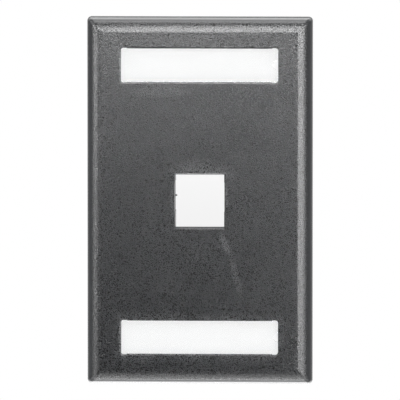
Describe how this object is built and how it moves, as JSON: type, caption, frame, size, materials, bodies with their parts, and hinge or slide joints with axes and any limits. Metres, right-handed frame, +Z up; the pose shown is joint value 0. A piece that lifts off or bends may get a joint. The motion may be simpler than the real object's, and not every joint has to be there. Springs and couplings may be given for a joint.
{
  "type": "keystone faceplate",
  "caption": "Wall faceplate with a bevelled border, a keystone port in the middle and a label window under a clear cover above and below it.",
  "frame": {"origin": "middle of the plate on the wall plane, halfway between the two box screws", "axes": "+Z up along the plate's long side, +Y into the wall, front faces -Y, +X to the right of someone facing the plate"},
  "size_m": [0.07, 0.0294, 0.1142],
  "materials": {
    "moulding": "fine textured charcoal moulding",
    "clear_cover": "clear polished plastic",
    "label_paper": "plain white paper",
    "plate_screw": "zinc plated steel"
  },
  "bodies": {
    "plate": {"faceplate": "moulding", "upper_screw": "plate_screw", "lower_screw": "plate_screw"},
    "upper_cover": {"upper_label_cover": "clear_cover", "upper_label": "label_paper"},
    "lower_cover": {"lower_label_cover": "clear_cover", "lower_label": "label_paper"}
  },
  "joints": [
    {"name": "upper_cover_pull", "type": "slide", "parent": "plate", "child": "upper_cover", "axis": [0, -1, 0], "range_m": [0, 0.012]},
    {"name": "lower_cover_pull", "type": "slide", "parent": "plate", "child": "lower_cover", "axis": [0, -1, 0], "range_m": [0, 0.012]}
  ]
}
